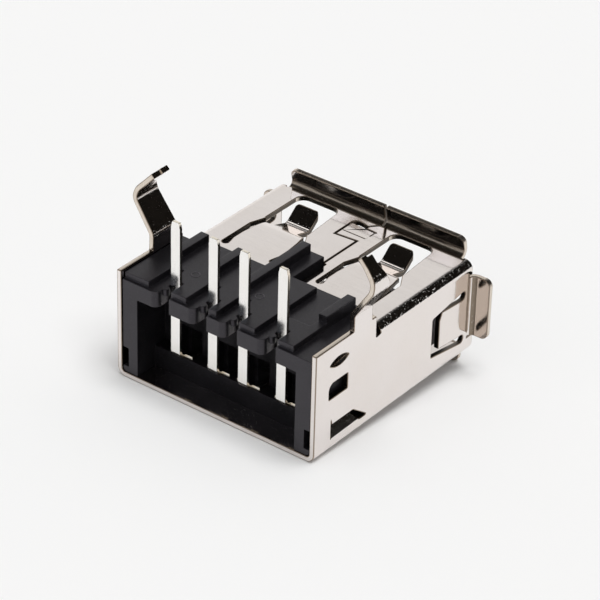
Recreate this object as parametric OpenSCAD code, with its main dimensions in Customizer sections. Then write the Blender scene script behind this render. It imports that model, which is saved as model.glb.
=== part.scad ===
// Board-mounted socket for a flat four-contact data plug, lying with its board side up.
// Sizes in millimetres. X across the socket, the mouth faces -Y, the tails point to +Z.
// Inside the modules y runs from the rear edge to the mouth and z from the table-side wall.

/* [Shell] */
// Outside width of the folded shell
shell_w = 13.1; // [12.9:0.1:13.4]
// Outside height at the mouth
shell_h = 5.72; // [5.62:0.05:5.92]
// Length from the rear edge to the front of the lips
shell_l = 14.1; // [13.9:0.1:14.5]
// Height of the side walls at the rear
rear_h = 6.48; // [6.38:0.05:6.68]
// Sheet thickness
sheet = 0.3; // [0.26:0.01:0.32]
// Outside radius of the long folds
fold_r = 0.5; // [0.45:0.05:0.6]
// Rear end of the long folds on the board side
fold_y = 5.45; // [5.4:0.05:5.5]
// Rear edge of the board-side plate
plate_y = 5.95; // [5.9:0.05:6.1]
// Gap between the rear walls and the folds
relief_gap = 0.42; // [0.3:0.02:0.46]
// Reach of the board-side corners in front of the lip bends
corner_top = 0.12; // [0.05:0.01:0.2]
// Reach of the table-side corners in front of the lip bends
corner_low = 0.45; // [0.3:0.05:0.5]

/* [Lips] */
// Reach of the upper and lower lips beyond the shell
lip_reach = 1.1; // [0.9:0.05:1.3]
// Width of the upper and lower lips
lip_w = 11.6; // [11:0.1:11.8]
// Reach of the side lips beyond the shell
ear_reach = 1.1; // [0.95:0.05:1.3]
// Height of the side lips
ear_h = 3.7; // [3.4:0.1:3.9]
// How far the side lips stand behind the other lips
ear_back = 0.14; // [0.05:0.01:0.2]
// Inside radius where the lips bend out
lip_r = 0.3; // [0.25:0.05:0.35]
// Corner radius of the lips
lip_corner = 0.4; // [0.3:0.05:0.45]
// Width of the split in the upper lip
split_w = 0.12; // [0.08:0.02:0.2]

/* [Seam] */
// Sideways place of the seam
seam_x = 0.57; // [0.5:0.02:0.64]
// Width of the seam
seam_w = 0.08; // [0.06:0.01:0.12]
// Sideways reach of the interlock tab from the seam
lock_w = 1.4; // [1.2:0.05:1.5]
// Rear edge of the interlock tab from the mouth
lock_back = 2.9; // [2.8:0.05:3]
// Length of the interlock tab
lock_l = 1.55; // [1.4:0.05:1.6]
// Flare of the interlock tab at each edge
lock_flare = 0.12; // [0:0.02:0.2]

/* [Spring fingers] */
// Centre of each finger from the middle
finger_x = 3.17; // [3.1:0.01:3.2]
// Root of the fingers from the rear edge of the plate
finger_set = 0.85; // [0.75:0.05:0.95]
// Width of a finger at its root
finger_w = 2.84; // [2.6:0.02:2.86]
// Width of a finger at its step
finger_step_w = 1.9; // [1.7:0.05:2]
// Width of a finger at its tip
finger_tip_w = 1.56; // [1.3:0.05:1.7]
// Slope of a finger into the mouth, in degrees
finger_slope = 8.5; // [7.5:0.5:9]
// Upturn of a finger tip, in degrees
finger_upturn = 40; // [35:1:45]
// Length of the upturned tip
finger_tip_l = 1.02; // [0.8:0.02:1.1]
// Gap between a finger tip and the front of its window
finger_gap = 1.36; // [1.2:0.02:1.5]
// Slot beside a finger
slot_w = 0.4; // [0.3:0.02:0.42]
// Width of the finger window at the front
window_w = 3.12; // [2.9:0.02:3.2]
// Front edge of the finger window from the mouth
window_front = 0.74; // [0.72:0.02:0.9]

/* [Side springs] */
// Height of the side spring
side_h = 2.24; // [2.1:0.02:2.3]
// Length of the side spring
side_l = 1.85; // [1.7:0.05:2]
// Opening behind the side spring
side_gap = 0.85; // [0.7:0.05:0.9]
// Root of the side spring from the mouth
side_front = 1.3; // [1.2:0.05:1.4]
// Middle height of the side spring
side_z = 2.57; // [2.5:0.01:2.65]
// Slope of the side spring into the mouth, in degrees
side_slope = 5; // [3:1:6]
// Width of the slots at the root of the side spring
side_slot = 0.48; // [0.4:0.02:0.5]
// Narrowing of each slot toward its rear end
side_taper = 0.42; // [0.3:0.02:0.44]

/* [Side wall] */
// Rear end of the holding tab
lance_y = 1.4; // [1.3:0.05:1.5]
// Length of the holding tab
lance_l = 2.97; // [2.8:0.01:3]
// Lower edge of the holding tab
lance_z = 0.82; // [0.8:0.01:0.86]
// Height of the opening of the holding tab
lance_h = 0.86; // [0.8:0.01:0.88]
// Lean of the holding tab into the housing, in degrees
lance_slope = 26; // [22:1:27]
// Rear edge of the wall window
port_y = 1.15; // [1.1:0.05:1.2]
// Lower edge of the wall window
port_z = 3.32; // [3.2:0.02:3.4]
// Height of the wall window
port_h = 0.92; // [0.8:0.02:1]
// Length of the wall window
port_l = 1.55; // [1.4:0.05:1.7]
// Middle of the lens slot from the rear edge
lens_y = 1.95; // [1.85:0.05:2]
// Middle height of the lens slot
lens_z = 5.46; // [5.4:0.02:5.52]
// Length of the lens slot
lens_l = 1.6; // [1.4:0.05:1.7]
// Height of the lens slot
lens_h = 0.46; // [0.36:0.02:0.5]

/* [Board-lock legs] */
// Rear edge of the left leg
leg_y = 2.6; // [2.5:0.05:2.6]
// How much further forward the right leg stands
leg_shift = 0.5; // [0.4:0.05:0.5]
// Width of a leg at its foot
leg_w = 1.9; // [1.7:0.05:1.9]
// How much narrower the right leg is
leg_narrow = 0.35; // [0.2:0.05:0.4]
// Width of a leg at its tip
leg_tip_w = 1.15; // [1:0.05:1.3]
// Straight part above the wall
leg_foot = 0.78; // [0.6:0.02:0.9]
// Outward lean, in degrees
leg_lean = 33; // [28:1:35]
// Length of the leaning part
leg_rise = 1.7; // [1.5:0.05:1.75]
// Inward lean of the tip, in degrees
leg_tip_lean = 43; // [36:1:45]
// Length of the part that leans back in
leg_tip_l = 1.3; // [1:0.05:1.4]
// How much shorter the tip of the right leg is
leg_short = 0.3; // [0.2:0.05:0.4]
// Height of the break-off nub on the tip
leg_nub = 0.14; // [0.06:0.02:0.2]
// Radius of the kink on the middle of the sheet
leg_kink_r = 0.75; // [0.6:0.05:0.9]

/* [Housing] */
// Side clearance between housing and shell
fit = 0.03; // [0.02:0.01:0.05]
// Rear face of the housing from the rear edge of the shell
house_back = 0.06; // [0.04:0.01:0.1]
// Front face of the bulkhead
bulk_y = 5.3; // [5.2:0.05:5.4]
// Rear face of the bulkhead
bulk_back = 2.3; // [2.2:0.05:2.5]
// Width of each rear post
post_w = 1; // [0.9:0.05:1.1]
// Underside of the comb
comb_z = 5.05; // [4.95:0.05:5.15]
// Height of the low ledges of the comb
ledge_z = 6; // [5.94:0.02:6.06]
// Height of the raised strips of the comb
strip_z = 6.35; // [6.3:0.01:6.38]
// Front edge of the comb
comb_y = 5.85; // [5.75:0.05:5.85]
// Front edge of the raised strips behind the front edge of the comb
strip_set = 0.4; // [0.3:0.05:0.5]
// Front end of the low ledges
pocket_y = 2.3; // [2.2:0.05:2.4]
// Height of the seat ribs
rib_z = 6.75; // [6.7:0.05:6.9]
// Width of the seat ribs
rib_w = 0.55; // [0.45:0.05:0.6]
// Rear end of the seat ribs
rib_y = 3; // [2.9:0.05:3.2]
// Front end of the middle tab
tab_y = 8.3; // [8:0.05:8.3]
// Width of the middle tab
tab_w = 1.3; // [1.2:0.02:1.36]
// Height of the middle tab
tab_z = 6.2; // [6.1:0.02:6.3]
// Top of the low wall behind the contacts
sill_z = 1.6; // [1.5:0.02:1.64]
// Rear face of the low wall
sill_y = 1.5; // [1.5:0.01:1.54]

/* [Mouth tongue] */
// Width of the tongue
tongue_w = 11.1; // [10.8:0.1:11.2]
// Underside of the tongue
tongue_z = 1; // [0.98:0.02:1.1]
// Top of the tongue
tongue_top = 2.75; // [2.7:0.01:2.8]
// Front end of the tongue from the mouth
tongue_front = 1.1; // [0.95:0.05:1.3]
// Depth of the contact grooves
groove_d = 0.5; // [0.46:0.01:0.54]

/* [Contacts] */
// Spacing of the outer pairs
pitch_out = 2.5; // [2.4:0.05:2.6]
// Spacing of the middle pair
pitch_mid = 2; // [1.96:0.02:2.1]
// Thickness of the contact strip
strip_t = 0.2; // [0.18:0.01:0.22]
// Width of a tail
tail_w = 0.6; // [0.54:0.02:0.66]
// Rear face of the tails
tail_y = 1.09; // [1.08:0.01:1.12]
// Tip of the tails
tail_tip = 9.96; // [9.6:0.05:10.4]
// Length of the taper at the tail tip
tail_taper = 0.35; // [0.2:0.05:0.5]
// Width of a tail at its tip
tail_tip_w = 0.44; // [0.3:0.02:0.5]
// Width of the contact shoulder
shoulder_w = 1.5; // [1.3:0.02:1.54]
// Width of the contact beam
beam_w = 1; // [0.9:0.02:1.04]
// Bend radius of the tails on the middle of the strip
tail_bend = 0.4; // [0.38:0.01:0.44]
// Side clearance of the contacts
contact_fit = 0.06; // [0.04:0.01:0.08]
// Rear slot clearance at each side of a tail
slot_fit = 0.11; // [0.06:0.01:0.14]

/* [Hidden] */
$fn = 64;
over = 0.1;
through = 1;
half_w = shell_w / 2;
fold_in = fold_r - sheet;
fold_z = shell_h - fold_r;
inner_z = shell_h - sheet;
tube_end = shell_l - lip_r - sheet;
relief_y = fold_y - relief_gap;
house_w = half_w - sheet - fit;
gap_end = 0.05;
plate_in = 0.4;
house_end = relief_y - gap_end;
front_set = 0.55;
front_w = half_w - fold_r - front_set;
seat_z = inner_z - fit;
split_set = 0.07;
split_x = seam_x + split_set;
lock_y = shell_l - lock_back;
lock_end = 0.2;
lock_gap = 0.32;
lock_gap_start = 0.06;
lock_gap_rise = 0.24;
lock_gap_top = 0.57;
lock_gap_end = 0.95;
coin_in = 0.12;
coin_y = 0.55;
coin_w = 0.05;
coin_l = 0.5;
coin_d = 0.05;
side_root = shell_l - side_front;
side_window_l = side_l + side_gap;
side_clip_l = 0.2;
side_clip_h = 0.5;
side_root_in = 0.1;
side_bend_r = 1.5;
lance_nose = 1.12;
lance_lip = 0.05;
lance_play = 0.06;
lance_nick = 0.28;
lance_nick_w = 0.08;
lance_pocket_d = 0.37;
lance_pocket_z = 0.14;
lance_pocket_y = 0.3;
port_r = 0.4;
lens_tilt = 30;
ear_lift = 0.12;
ear_z = shell_h / 2 + ear_lift;
ear_gap = 0.1;
corner_in = 0.15;
tongue_y = shell_l - tongue_front;
window_y = shell_l - window_front;
notch_gap = 0.08;
tab_x0 = -0.62;
tab_x1 = tab_x0 + tab_w;
finger_root = plate_y + finger_set;
finger_lap = 0.2;
finger_dy = 0.3;
finger_bend_r = 1.5;
finger_kink_r = 0.55;
finger_chamfer = 0.22;
finger_end = window_y - finger_gap;
finger_arc = finger_bend_r * sin(finger_slope) + finger_kink_r * (sin(finger_slope) + sin(finger_upturn));
finger_tip_run = finger_tip_l * cos(finger_upturn);
finger_run = (finger_end - finger_root - finger_dy - finger_arc - finger_tip_run) / cos(finger_slope);
window_root_w = finger_w + 2 * slot_w;
neck_share = 0.36;
step_share = 0.51;
neck_y = finger_root + neck_share * (window_y - finger_root);
step_y = finger_root + step_share * (window_y - finger_root);
neck_in = 0.07;
window_corner = 0.55;
leg_bend_r = 0.5;
leg_inset = 0.2;
leg_end = leg_foot + leg_rise + leg_tip_l;
leg_kink_z = rear_h + leg_foot + (leg_rise + leg_kink_r) * cos(leg_lean);
pin_x = [-pitch_mid / 2 - pitch_out, -pitch_mid / 2, pitch_mid / 2, pitch_mid / 2 + pitch_out];
tail_mid = tail_y + strip_t / 2;
tail_front = tail_y + strip_t;
slot_half = tail_w / 2 + slot_fit;
groove_z = tongue_top - groove_d;
groove_front = 0.7;
beam_room = 0.25;
duct_y = 4.75;
ramp = 30;
ramp_r = 0.5;
ramp_up = groove_z - sill_z;
ramp_run = (ramp_up - 2 * ramp_r * (1 - cos(ramp))) / sin(ramp);
ramp_y = 2 * ramp_r * sin(ramp) + ramp_run * cos(ramp);
shoulder_y = 3;
wave = 16;
wave_r = 1;
wave_l = 1.6;
hook = 30;
hook_r = 0.7;
hook_l = 0.7;
hook_y = hook_r * (sin(wave) + sin(hook)) + hook_l * cos(hook);
beam_end = 1.44;
beam_run = tongue_y - beam_end - shoulder_y - ramp_y - wave_r * sin(wave) - wave_l * cos(wave) - hook_y;
strip_step = 1.1;
strip_in = 0.2;
strip_back = house_back + strip_in;
strip_front = comb_y - strip_set;
rib_set = 0.2;
rib_far = 0.85;
rib_short = 0.15;
tongue_edge = 0.35;
lead_r = 0.4;
bump_r = 0.22;
bump_h = 0.4;

module along_x(x0, x1) {
  translate([x0, 0, 0])
    rotate([90, 0, 90])
      linear_extrude(height = x1 - x0)
        children();
}

module along_y(y0, y1) {
  translate([0, y1, 0])
    rotate([90, 0, 0])
      linear_extrude(height = y1 - y0)
        children();
}

module along_z(z0, z1) {
  translate([0, 0, z0])
    linear_extrude(height = z1 - z0)
      children();
}

module box(x0, x1, y0, y1, z0, z1) {
  translate([x0, y0, z0])
    cube([x1 - x0, y1 - y0, z1 - z0]);
}

// Rectangle with rounded corners about its centre
module rounded(w, h, r) {
  square([w - 2 * r, h], center = true);
  square([w, h - 2 * r], center = true);
  for (sx = [-1, 1], sy = [-1, 1])
    translate([sx * (w / 2 - r), sy * (h / 2 - r)])
      circle(r);
}

// Part of a ring that turns a strip of thickness t through angle a
module turn(r, a, t) {
  s = sign(a);
  big = 3 * (r + t);
  lap = 0.02;
  end = abs(a) + lap;
  translate([0, s * r])
    intersection() {
      difference() {
        circle(r + t / 2);
        circle(r - t / 2);
      }
      polygon([
        [0, 0],
        [-big * sin(lap), -s * big * cos(lap)],
        [big * sin(end / 2), -s * big * cos(end / 2)],
        [big * sin(end), -s * big * cos(end)]
      ]);
    }
}

// Strip of thickness t laid out as straight runs and turns
module strip(steps, t, i = 0) {
  if (i < len(steps)) {
    run = steps[i][0];
    r = steps[i][1];
    a = steps[i][2];
    if (run > 0)
      translate([0, -t / 2])
        square([run, t]);
    translate([run, 0]) {
      if (a != 0)
        turn(r, a, t);
      translate([r * sin(abs(a)), sign(a) * r * (1 - cos(a))])
        rotate(a)
          strip(steps, t, i + 1);
    }
  }
}

// Thin slot between two points of the plate
module slit(p, q, w) {
  d = q - p;
  n = [-d[1], d[0]] / norm(d) * w / 2;
  e = d / norm(d) * w / 2;
  polygon([p - e + n, p - e - n, q + e - n, q + e + n]);
}

module tube_section() {
  translate([0, shell_h / 2])
    difference() {
      rounded(shell_w, shell_h, fold_r);
      rounded(shell_w - 2 * sheet, shell_h - 2 * sheet, fold_in);
    }
}

module trough_section() {
  intersection() {
    tube_section();
    translate([-shell_w, 0])
      square([2 * shell_w, fold_z]);
  }
}

module crown_section() {
  intersection() {
    tube_section();
    translate([-shell_w, fold_z])
      square([2 * shell_w, shell_h]);
  }
}

// Outline of the window round a spring finger
module window_outline() {
  r = window_corner;
  w = window_w / 2;
  root = window_root_w / 2;
  polygon([
    [-root, finger_root],
    [root, finger_root],
    [root, neck_y],
    [w - neck_in, step_y],
    [-w + neck_in, step_y],
    [-root, neck_y]
  ]);
  translate([-w, step_y])
    square([window_w, window_y - r - step_y]);
  translate([-w + r, window_y - 2 * r])
    square([window_w - 2 * r, 2 * r]);
  for (s = [-1, 1]) {
    translate([s * (w - r), window_y - r])
      circle(r);
    translate([s * (root - slot_w / 2), finger_root])
      circle(slot_w / 2);
  }
}

// Outline of a spring finger seen from above
module finger_outline() {
  c = finger_chamfer;
  root = finger_w / 2;
  tip = finger_tip_w / 2;
  neck = step_y + finger_dy;
  polygon([
    [-root, finger_root - finger_lap],
    [root, finger_root - finger_lap],
    [root, finger_root],
    [finger_step_w / 2, step_y],
    [tip, neck],
    [tip, finger_end - c],
    [tip - c, finger_end],
    [tip - c, window_y],
    [-tip + c, window_y],
    [-tip + c, finger_end],
    [-tip, finger_end - c],
    [-tip, neck],
    [-finger_step_w / 2, step_y],
    [-root, finger_root]
  ]);
}

// Spring finger with the outer face of its plate at z = 0
module finger() {
  steps = [
    [finger_dy + finger_lap, finger_bend_r, -finger_slope],
    [finger_run, finger_kink_r, finger_slope + finger_upturn],
    [finger_tip_l, 1, 0]
  ];
  intersection() {
    along_x(-finger_w, finger_w)
      translate([finger_root - finger_lap, -sheet / 2])
        strip(steps, sheet);
    along_z(-shell_h, shell_h)
      finger_outline();
  }
}

// Lip bent outward, with the outer face of its wall at z = 0, standing back behind the mouth
module lip(w, reach, back = 0) {
  c = lip_corner;
  intersection() {
    along_x(-w, w)
      translate([tube_end - back, -sheet / 2])
        strip([[0, lip_r + sheet / 2, 90], [reach - lip_r, 1, 0]], sheet);
    along_y(tube_end - back, shell_l + through) {
      translate([-w / 2, -sheet])
        square([w, sheet + reach - c]);
      translate([-w / 2 + c, 0])
        square([w - 2 * c, reach]);
      for (s = [-1, 1])
        translate([s * (w / 2 - c), reach - c])
          circle(c);
    }
  }
}

// Leg on the right wall that locks into the board, with its tip cut at length l
module leg_strip(y0, y1, l) {
  steps = [
    [leg_foot, leg_bend_r, -leg_lean],
    [leg_rise, leg_kink_r, leg_lean + leg_tip_lean],
    [l, 1, 0]
  ];
  along_y(y0, y1)
    translate([half_w - sheet / 2, rear_h])
      rotate(90)
        strip(steps, sheet);
}

module leg(y, w, tip_w, tip_l, nub_y) {
  tip_y = y + leg_inset;
  top = rear_h + 2 * leg_end;
  intersection() {
    union() {
      leg_strip(y, y + w, tip_l);
      leg_strip(tip_y + nub_y, tip_y + nub_y + tip_w / 2, tip_l + leg_nub);
    }
    along_x(half_w - leg_w, half_w + leg_w)
      polygon([
        [y, rear_h - leg_foot],
        [y + w, rear_h - leg_foot],
        [y + w, rear_h + leg_foot],
        [y + w - leg_inset, leg_kink_z],
        [tip_y + tip_w, rear_h + leg_end],
        [tip_y + tip_w, top],
        [tip_y, top],
        [tip_y, rear_h + leg_end],
        [y, leg_kink_z]
      ]);
  }
}

// Places a part of the wall drawn from its root toward the rear
module on_wall(y, z) {
  translate([half_w, y, z])
    rotate([0, 90, 0])
      rotate([0, 0, 180])
        children();
}

// Opening round the side spring, with slots that end in round holes
module side_window() {
  root = side_h / 2 + side_slot;
  rear = root - side_taper;
  polygon([
    [-root, 0],
    [-rear, side_window_l],
    [rear, side_window_l],
    [root, 0]
  ]);
  for (s = [-1, 1])
    translate([s * (root - side_slot / 2), 0])
      circle(side_slot / 2);
}

module side_spring() {
  h = side_h / 2;
  intersection() {
    along_x(-side_h, side_h)
      translate([-side_root_in, -sheet / 2])
        strip([[2 * side_root_in, side_bend_r, -side_slope], [2 * side_l, 1, 0]], sheet);
    along_z(-through, through)
      polygon([
        [-h, -side_root_in],
        [-h, side_l],
        [h - side_clip_h, side_l],
        [h, side_l - side_clip_l],
        [h, -side_root_in]
      ]);
  }
}

// Opening of the holding tab, drawn from its pointed end toward the rear
module lance_outline() {
  polygon([
    [0, 0],
    [0, lance_l],
    [lance_h + lance_nick, lance_l],
    [lance_h, lance_l - lance_nick_w],
    [lance_h, lance_nose],
    [lance_lip, 0]
  ]);
}

// Tab that hangs on the lower edge of its opening and leans into the housing
module lance() {
  h = lance_h - lance_play;
  rotate([0, lance_slope, 0])
    along_z(-sheet, 0)
      polygon([
        [0, lance_nose / 2],
        [0, lance_l - lance_play],
        [h, lance_l - lance_play],
        [h, lance_nose + lance_play]
      ]);
}

module wall_openings() {
  on_wall(side_root, side_z)
    along_z(-through, through)
      side_window();
  on_wall(lance_y + lance_l, lance_z)
    along_z(-through, through)
      lance_outline();
  // Window with one rounded corner
  along_x(half_w - through, half_w + through)
    translate([port_y, port_z])
      union() {
        square([port_l, port_h - port_r]);
        translate([port_r, 0])
          square([port_l - port_r, port_h]);
        translate([port_r, port_h - port_r])
          circle(port_r);
      }
  // Lens slot cut at a slant through the sheet
  lens_r = lens_l * lens_l / (4 * lens_h) + lens_h / 4;
  translate([half_w - sheet / 2, lens_y, lens_z])
    rotate([0, lens_tilt, 0])
      along_x(-2 * sheet, 2 * sheet)
        intersection() {
          translate([0, lens_r - lens_h / 2])
            circle(lens_r);
          translate([0, -lens_r + lens_h / 2])
            circle(lens_r);
        }
}

// Seam with its interlock, open a little in front of the tab
module seam_cuts() {
  top = shell_h + through;
  low = inner_z - over;
  x1 = seam_x - lock_w;
  x2 = split_x + lock_end;
  y1 = lock_y + lock_l;
  mid = x1 + lock_gap_end;
  along_z(low, top) {
    slit([seam_x, tab_y], [seam_x, lock_y + lock_flare], seam_w);
    slit([seam_x, lock_y + lock_flare], [x1, lock_y], seam_w);
    slit([x1, lock_y], [x1, y1], seam_w);
    slit([x1, y1], [x2, y1 - lock_flare], seam_w);
    slit([mid, y1 + lock_gap / 2], [split_x, tube_end], seam_w);
    polygon([
      [x1 - seam_w / 2, y1],
      [mid, y1 - lock_flare],
      [mid + seam_w, y1 + lock_gap / 2],
      [x1 + lock_gap_top, y1 + lock_gap - seam_w / 2],
      [x1 + lock_gap_rise, y1 + lock_gap],
      [x1 + lock_gap_start, y1 + lock_gap - seam_w]
    ]);
  }
  box(split_x - split_w / 2, split_x + split_w / 2, tube_end - over, shell_l + through,
    low, shell_h + lip_reach + through);
  // Shallow coined lines across the interlock
  box(x1 + coin_in, split_x + coin_in, lock_y + coin_y, lock_y + coin_y + coin_w, shell_h - coin_d, top);
  box(x2 - coin_w, x2, y1 - lock_flare - coin_l, y1 - lock_flare, shell_h - coin_d, top);
}

// Corners of the folded sheet that reach forward between the lips
module corners() {
  x = lip_w / 2 + corner_in;
  for (s = [0, 1])
    mirror([s, 0, 0]) {
      intersection() {
        along_y(tube_end - gap_end, tube_end + corner_low)
          trough_section();
        box(x, half_w + through, 0, shell_l, -through, ear_z - ear_h / 2 - ear_gap);
      }
      intersection() {
        along_y(tube_end - gap_end, tube_end + corner_top)
          tube_section();
        box(x, half_w + through, 0, shell_l, ear_z + ear_h / 2 + ear_gap, shell_h + through);
      }
    }
}

module shell_local() {
  difference() {
    union() {
      difference() {
        union() {
          along_y(0, tube_end)
            trough_section();
          along_y(fold_y, tube_end)
            crown_section();
        }
        // Room for the side lips, which bend out earlier
        for (s = [-1, 1])
          box(s * half_w - 2 * sheet, s * half_w + 2 * sheet, tube_end - ear_back, tube_end + through,
            ear_z - ear_h / 2 - ear_gap, ear_z + ear_h / 2 + ear_gap);
      }
      for (s = [-1, 1])
        translate([s * (half_w - sheet / 2) - sheet / 2, 0, fold_z])
          cube([sheet, relief_y, rear_h - fold_z]);
      translate([0, 0, shell_h])
        lip(lip_w, lip_reach);
      rotate([0, 180, 0])
        lip(lip_w, lip_reach);
      for (s = [-1, 1])
        translate([s * half_w, 0, ear_z])
          rotate([0, s * 90, 0])
            lip(ear_h, ear_reach, ear_back);
      corners();
      leg(leg_y + leg_shift, leg_w - leg_narrow, leg_tip_w - leg_narrow, leg_tip_l - leg_short, 0);
      mirror([1, 0, 0])
        leg(leg_y, leg_w, leg_tip_w, leg_tip_l, leg_tip_w / 2);
    }
    // Open rear of the board-side plate and the notch for the middle tab
    box(-half_w + fold_r + plate_in, half_w - fold_r - plate_in, 0, plate_y, inner_z - over, shell_h + over);
    box(tab_x0 - notch_gap, tab_x1 + notch_gap, 0, tab_y + notch_gap, inner_z - over, shell_h + over);
    for (s = [-1, 1])
      translate([s * finger_x, 0, 0]) {
        along_z(inner_z - over, shell_h + over)
          window_outline();
        along_z(-over, sheet + over)
          window_outline();
      }
    for (s = [0, 1])
      mirror([s, 0, 0])
        wall_openings();
    seam_cuts();
  }
  for (s = [-1, 1]) {
    translate([s * finger_x, 0, shell_h])
      finger();
    translate([s * finger_x, 0, 0])
      rotate([0, 180, 0])
        finger();
  }
  for (s = [0, 1])
    mirror([s, 0, 0]) {
      on_wall(side_root, side_z)
        side_spring();
      on_wall(lance_y + lance_l, lance_z)
        lance();
    }
}

// Space round a tail, with a rounded lead-in on one side
module tail_slot() {
  h = slot_half;
  translate([-h, -through])
    square([2 * h, tail_front + through]);
  difference() {
    translate([-h - lead_r, -through])
      square([lead_r, through + house_back + lead_r]);
    translate([-h - lead_r, house_back + lead_r])
      circle(lead_r);
  }
}

module comb() {
  rib_end = pin_x[3] + rib_far + rib_w;
  box(-house_w, house_w, house_back, house_end, comb_z, ledge_z);
  box(-front_w, front_w, house_end, comb_y, seat_z, ledge_z);
  // Raised strips with a low ledge beside each tail
  box(-house_w, rib_end, pocket_y, house_end, ledge_z, strip_z);
  box(-front_w, rib_end, house_end, strip_front, ledge_z, strip_z);
  box(-house_w, pin_x[0] - strip_step, strip_back, house_end, ledge_z, strip_z);
  for (i = [0, 1, 2])
    box(pin_x[i] - slot_half, pin_x[i + 1] - strip_step, strip_back, strip_front, ledge_z, strip_z);
  box(pin_x[3] - slot_half, rib_end, strip_back, strip_front, ledge_z, strip_z);
  // Seat ribs that stand on the board
  for (i = [0, 1])
    box(pin_x[i] - strip_step - rib_set - rib_w, pin_x[i] - strip_step - rib_set,
      rib_y, strip_front, ledge_z, rib_z);
  box(pin_x[2] - strip_step - rib_w, pin_x[2] - strip_step, rib_y, tab_y - rib_short, ledge_z, rib_z);
  box(rib_end - rib_w, rib_end, rib_y, strip_front, ledge_z, rib_z);
  // Middle tab in the notch of the plate
  box(tab_x0, tab_x1, strip_front - strip_set, tab_y, seat_z, tab_z);
}

module tongue() {
  c = tongue_edge;
  along_x(-tongue_w / 2, tongue_w / 2)
    polygon([
      [bulk_y - over, tongue_z],
      [tongue_y - c, tongue_z],
      [tongue_y, tongue_z + c],
      [tongue_y, tongue_top - c],
      [tongue_y - c, tongue_top],
      [bulk_y - over, tongue_top]
    ]);
}

module housing_local() {
  cav = house_w - post_w;
  duct_z = tongue_top + beam_room;
  difference() {
    union() {
      // Posts, sill and bulkhead inside the rear walls
      intersection() {
        box(-house_w, house_w, house_back, house_end, sheet, comb_z + over);
        along_y(-through, shell_l)
          translate([0, shell_h])
            rounded(2 * house_w, 2 * (shell_h - sheet), fold_in + fit);
      }
      box(-front_w, front_w, bulk_back, bulk_y, sheet, seat_z);
      comb();
      tongue();
    }
    box(-cav, cav, -through, bulk_back, sill_z, comb_z);
    box(-cav, cav, -through, sill_y, -through, sill_z + over);
    // Pockets for the holding tabs of the shell
    for (s = [-1, 1])
      box(s * house_w - lance_pocket_d, s * house_w + lance_pocket_d,
        -through, lance_y + lance_l + lance_pocket_y,
        lance_z - lance_pocket_z, lance_z + lance_h + lance_pocket_z);
    for (x = pin_x)
      translate([x, 0, 0]) {
        along_z(comb_z - through, rib_z + through)
          tail_slot();
        // Passage through the bulkhead and groove along the tongue
        box(-shoulder_w / 2 - contact_fit, shoulder_w / 2 + contact_fit, bulk_back - through,
          shoulder_y + over, sill_z, duct_z);
        box(-beam_w / 2 - contact_fit, beam_w / 2 + contact_fit, shoulder_y, duct_y, sill_z, duct_z);
        box(-beam_w / 2 - contact_fit, beam_w / 2 + contact_fit, duct_y - gap_end, tongue_y - groove_front,
          groove_z, duct_z);
      }
  }
  // Bumps that keep the tails in their slots
  for (x = pin_x)
    translate([x - slot_half, tail_y - bump_r - gap_end, ledge_z - bump_h])
      cylinder(h = bump_h, r = bump_r);
}

module contact_local(x) {
  sill_mid = sill_z + strip_t / 2;
  tail_run = tail_tip - sill_mid - tail_bend;
  steps = [
    [tail_run, tail_bend, 90],
    [shoulder_y - tail_mid - tail_bend, ramp_r, ramp],
    [ramp_run, ramp_r, -ramp],
    [beam_run, wave_r, wave],
    [wave_l, hook_r, -wave - hook],
    [hook_l, 1, 0]
  ];
  translate([x, 0, 0])
    intersection() {
      along_x(-shoulder_w, shoulder_w)
        translate([tail_mid, tail_tip])
          rotate(-90)
            strip(steps, strip_t);
      union() {
        along_y(-through, tail_mid + tail_bend)
          polygon([
            [-tail_w / 2, 0],
            [tail_w / 2, 0],
            [tail_w / 2, tail_tip - tail_taper],
            [tail_tip_w / 2, tail_tip],
            [-tail_tip_w / 2, tail_tip],
            [-tail_w / 2, tail_tip - tail_taper]
          ]);
        box(-shoulder_w / 2, shoulder_w / 2, tail_mid + tail_bend, shoulder_y, 0, shell_h);
        box(-beam_w / 2, beam_w / 2, shoulder_y, shell_l, 0, shell_h);
      }
    }
}

// Turns the mouth to -Y and stands the lower lip on z = 0
module place() {
  translate([0, shell_l / 2, lip_reach])
    rotate([0, 0, 180])
      children();
}

module shell() {
  color([0.8, 0.79, 0.77])
    place()
      shell_local();
}

module housing() {
  color([0.16, 0.16, 0.17])
    place()
      housing_local();
}

module contact(i) {
  color([0.86, 0.85, 0.82])
    place()
      contact_local(pin_x[i]);
}

module contact_vbus() {
  contact(3);
}

module contact_data_minus() {
  contact(2);
}

module contact_data_plus() {
  contact(1);
}

module contact_ground() {
  contact(0);
}

shell();
housing();
contact_vbus();
contact_data_minus();
contact_data_plus();
contact_ground();
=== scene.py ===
import math

import bmesh
import bpy
from bpy.props import FloatProperty, FloatVectorProperty, IntProperty, PointerProperty
from mathutils import Matrix, Vector
from mathutils.bvhtree import BVHTree


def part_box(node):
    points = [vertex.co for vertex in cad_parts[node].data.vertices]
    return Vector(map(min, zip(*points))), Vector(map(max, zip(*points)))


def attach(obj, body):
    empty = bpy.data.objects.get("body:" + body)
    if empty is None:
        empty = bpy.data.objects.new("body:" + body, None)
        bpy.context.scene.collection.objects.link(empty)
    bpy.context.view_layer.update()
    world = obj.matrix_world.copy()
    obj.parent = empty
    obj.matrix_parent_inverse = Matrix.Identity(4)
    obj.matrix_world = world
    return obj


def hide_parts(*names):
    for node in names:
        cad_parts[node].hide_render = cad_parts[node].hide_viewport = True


bl_info = {
    "name": "Board socket finish",
    "version": (1, 0, 0),
    "blender": (4, 5, 0),
    "location": "View3D > Sidebar > Socket",
    "description": "Plated shell, moulded housing and tinned contacts for a board-mounted data socket",
    "category": "Object",
}

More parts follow.
